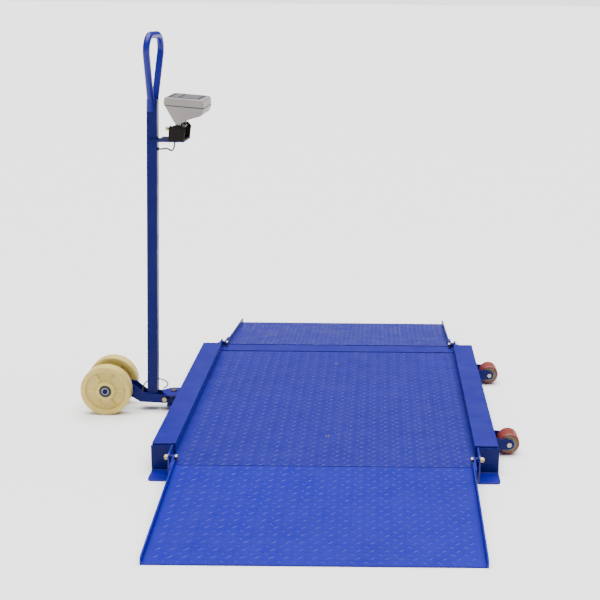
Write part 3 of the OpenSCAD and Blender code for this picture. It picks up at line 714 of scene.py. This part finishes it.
def indicator_panel():
    film = panel_patch("panel_film", "overlay", 0.008, 0.123, 0.092, 0.0006, 0.0016, 0.006)
    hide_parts("panel_overlay")
    pane = panel_patch("display_pane", "window", 0.018, 0.044, 0.076, 0.0009, 0.0012, 0.003)
    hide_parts("display_window")
    panel_patch("key_field", "overlay", 0.052, 0.114, 0.080, 0.0009, 0.0008, 0.004,
                look="key_field")
    for i in range(3):
        for j in range(6):
            u = KEY_FIRST[0] + KEY_STEP[0] * i
            key = panel_patch(f"key_{i + 1}_{j + 1}", "keys", u - KEY_HALF_LENGTH,
                              u + KEY_HALF_LENGTH, KEY_HALF_WIDTH, 0.0016, 0.0010, 0.0025,
                              at=KEY_FIRST[1] + KEY_STEP[1] * j)
            if i == j == 0:
                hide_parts("panel_keys")


indicator_panel()


# ---------- welds ----------
def bead(name, points, radius, body, slot="blue_paint"):
    """A rippled weld bead along straight stretches between the points."""
    ripple_step = 0.0025
    steps = []
    for a, b in zip(points, points[1:]):
        a, b = Vector(a), Vector(b)
        count = max(2, int((b - a).length / ripple_step))
        steps += [a + (b - a) * (k / count) for k in range(count)]
    steps.append(Vector(points[-1]))
    tube_mesh(name, steps, radius, slot, body, 10, 0.16)


def mast_point(across, along, up):
    """A point given in the leaning mast's own frame."""
    c, s = math.cos(MAST_LEAN), math.sin(MAST_LEAN)
    return MAST_FOOT + Vector((across * c + up * s, along, up * c - across * s))


def welds():
    corners = [(side, end) for side in (-1, 1) for end in (-1, 1)]
    for k, (side, end) in enumerate(corners):
        x, y = CHANNEL_WALL * side, END_FACE * end
        bead(f"weld_end_plate_{k + 1}", [(x, y, 0.0065), (FOOT_EDGE * side, y, 0.0065)], 0.0022,
             "platform")
        bead(f"weld_lug_{k + 1}", [(x, y, 0.008), (x, y, 0.090)], 0.0018, "platform")
    foot_off = MAST_SIDE / 2 + 0.001
    # The mast's welds take the navy slot's darker paint, which is painted shade.
    for k, y in enumerate((GEAR_Y - foot_off, GEAR_Y + foot_off)):
        bead(f"weld_mast_{k + 1}", [(-0.711, y, 0.069), (-0.672, y, 0.069)], 0.0025,
             "lifting_fork", "navy_paint")
    handle_off = MAST_SIDE / 2 + 0.0015
    for k, (across, side) in enumerate(((-0.009, -1), (0.009, -1), (-0.009, 1), (0.009, 1))):
        ends = [mast_point(across, side * handle_off, up) for up in (1.100, 1.137)]
        bead(f"weld_handle_{k + 1}", ends, 0.0022, "lifting_fork")


welds()


# ---------- roller hubs ----------
def washer(name, centre, side, bore, radius, thick, slot, body):
    """A flat ring with a chamfered rim, which faces along Y towards side."""
    turns = 48
    chamfer = 0.0003
    way = Vector((0, side, 0))
    first = way.orthogonal().normalized()
    second = way.cross(first)
    rows = ((bore, 0.0), (radius - chamfer, 0.0), (radius, chamfer), (radius, thick - chamfer),
            (radius - chamfer, thick), (bore, thick))
    verts = []
    for r, rise in rows:
        for j in range(turns):
            a = 2 * math.pi * j / turns
            verts.append(Vector(centre) + way * rise
                         + r * (math.cos(a) * first + math.sin(a) * second))
    mesh_piece(name, verts, ring_faces(len(rows), turns, closed=True), slot, body, smooth=False)


def roller_details():
    """Raised hub ring and dust cap on both ends of each roller."""
    for which, middle in ROLLER_MIDDLES.items():
        for end, side in (("near", -1), ("far", 1)):
            face = (ROLLER_AXLE.x, middle + side * ROLLER_HALF_WIDTH, ROLLER_AXLE.z)
            body = f"{which}_roller"
            washer(f"roller_rim_{which}_{end}", face, side, 0.0245, 0.0285, 0.0008, "core", body)
            washer(f"roller_cap_{which}_{end}", face, side, 0.0060, 0.0170, 0.0010, "steel", body)


roller_details()


# ---------- stage and light ----------
FLOOR_HALF = 400.0
SUN_STRENGTH = 7.2
SUN_ANGLE = 1.2
SUN_TILT = (math.radians(-4), math.radians(5), 0)


def make_floor():
    data = bpy.data.meshes.new("floor")
    h = FLOOR_HALF
    data.from_pydata([(-h, -h, 0), (h, -h, 0), (h, h, 0), (-h, h, 0)], [], [(0, 1, 2, 3)])
    s = Shader("floor", (0.95, 0.95, 0.95), 0.95)
    s.tint(s.spread(s.noise(0.7, 2), 0.3, 0.7, 0, 0.04), (0.88, 0.88, 0.88))
    MATERIALS["floor"] = s.material
    add_object("floor", data, "floor")


def make_world():
    """White light, weak near the horizon and strong overhead, with a bright band below it."""
    world = bpy.data.worlds.new("studio")
    world.use_nodes = True
    tree = world.node_tree
    back = tree.nodes["Background"]
    way = tree.nodes.new("ShaderNodeTexCoord")
    parts = tree.nodes.new("ShaderNodeSeparateXYZ")
    tree.links.new(way.outputs["Generated"], parts.inputs[0])
    most = tree.nodes.new("ShaderNodeMath")
    most.operation = "MAXIMUM"
    for k, (from_min, from_max, to_min, to_max) in enumerate(((0.40, 0.95, 0.24, 1.2),
                                                              (0.012, 0.020, 2.2, 0.0))):
        rise = tree.nodes.new("ShaderNodeMapRange")
        rise.inputs["From Min"].default_value = from_min
        rise.inputs["From Max"].default_value = from_max
        rise.inputs["To Min"].default_value = to_min
        rise.inputs["To Max"].default_value = to_max
        tree.links.new(parts.outputs["Z"], rise.inputs["Value"])
        tree.links.new(rise.outputs["Result"], most.inputs[k])
    tree.links.new(most.outputs["Value"], back.inputs["Strength"])
    back.inputs["Color"].default_value = (1, 1, 1, 1)
    bpy.context.scene.world = world


def make_sun():
    data = bpy.data.lights.new("top_soft", "SUN")
    data.energy = SUN_STRENGTH
    data.angle = SUN_ANGLE
    sun = bpy.data.objects.new("top_soft", data)
    sun.rotation_euler = SUN_TILT
    bpy.context.scene.collection.objects.link(sun)


make_floor()
make_world()
make_sun()
